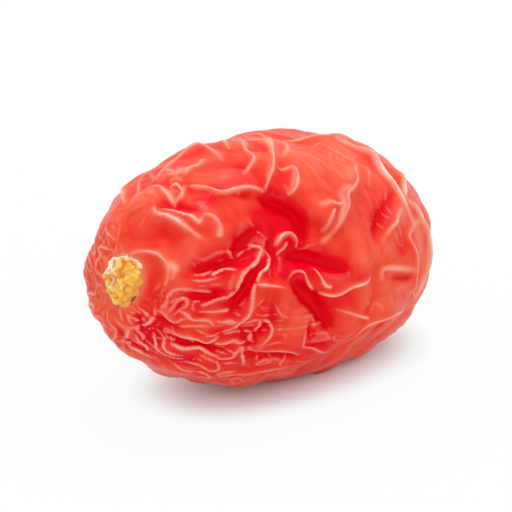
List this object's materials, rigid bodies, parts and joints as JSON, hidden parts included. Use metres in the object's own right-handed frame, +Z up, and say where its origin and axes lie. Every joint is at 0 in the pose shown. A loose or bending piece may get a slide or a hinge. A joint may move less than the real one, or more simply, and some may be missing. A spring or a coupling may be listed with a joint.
{
  "type": "dried goji berry",
  "caption": "Plump dried goji berry with wrinkled red skin and a pithy stub of its stalk in the stem end, resting on a small flat foot",
  "frame": {"origin": "on the ground, under the middle of the berry's outline", "axes": "+X to the blossom end, -X to the stem end, +Z up, -Y to the side with the deep pucker"},
  "size_m": [0.0162, 0.01, 0.0095],
  "materials": {
    "berry_skin": "satin",
    "stem_pith": "matte"
  },
  "bodies": {
    "root": {"berry": "berry_skin", "stem_stub": "stem_pith"}
  },
  "joints": []
}
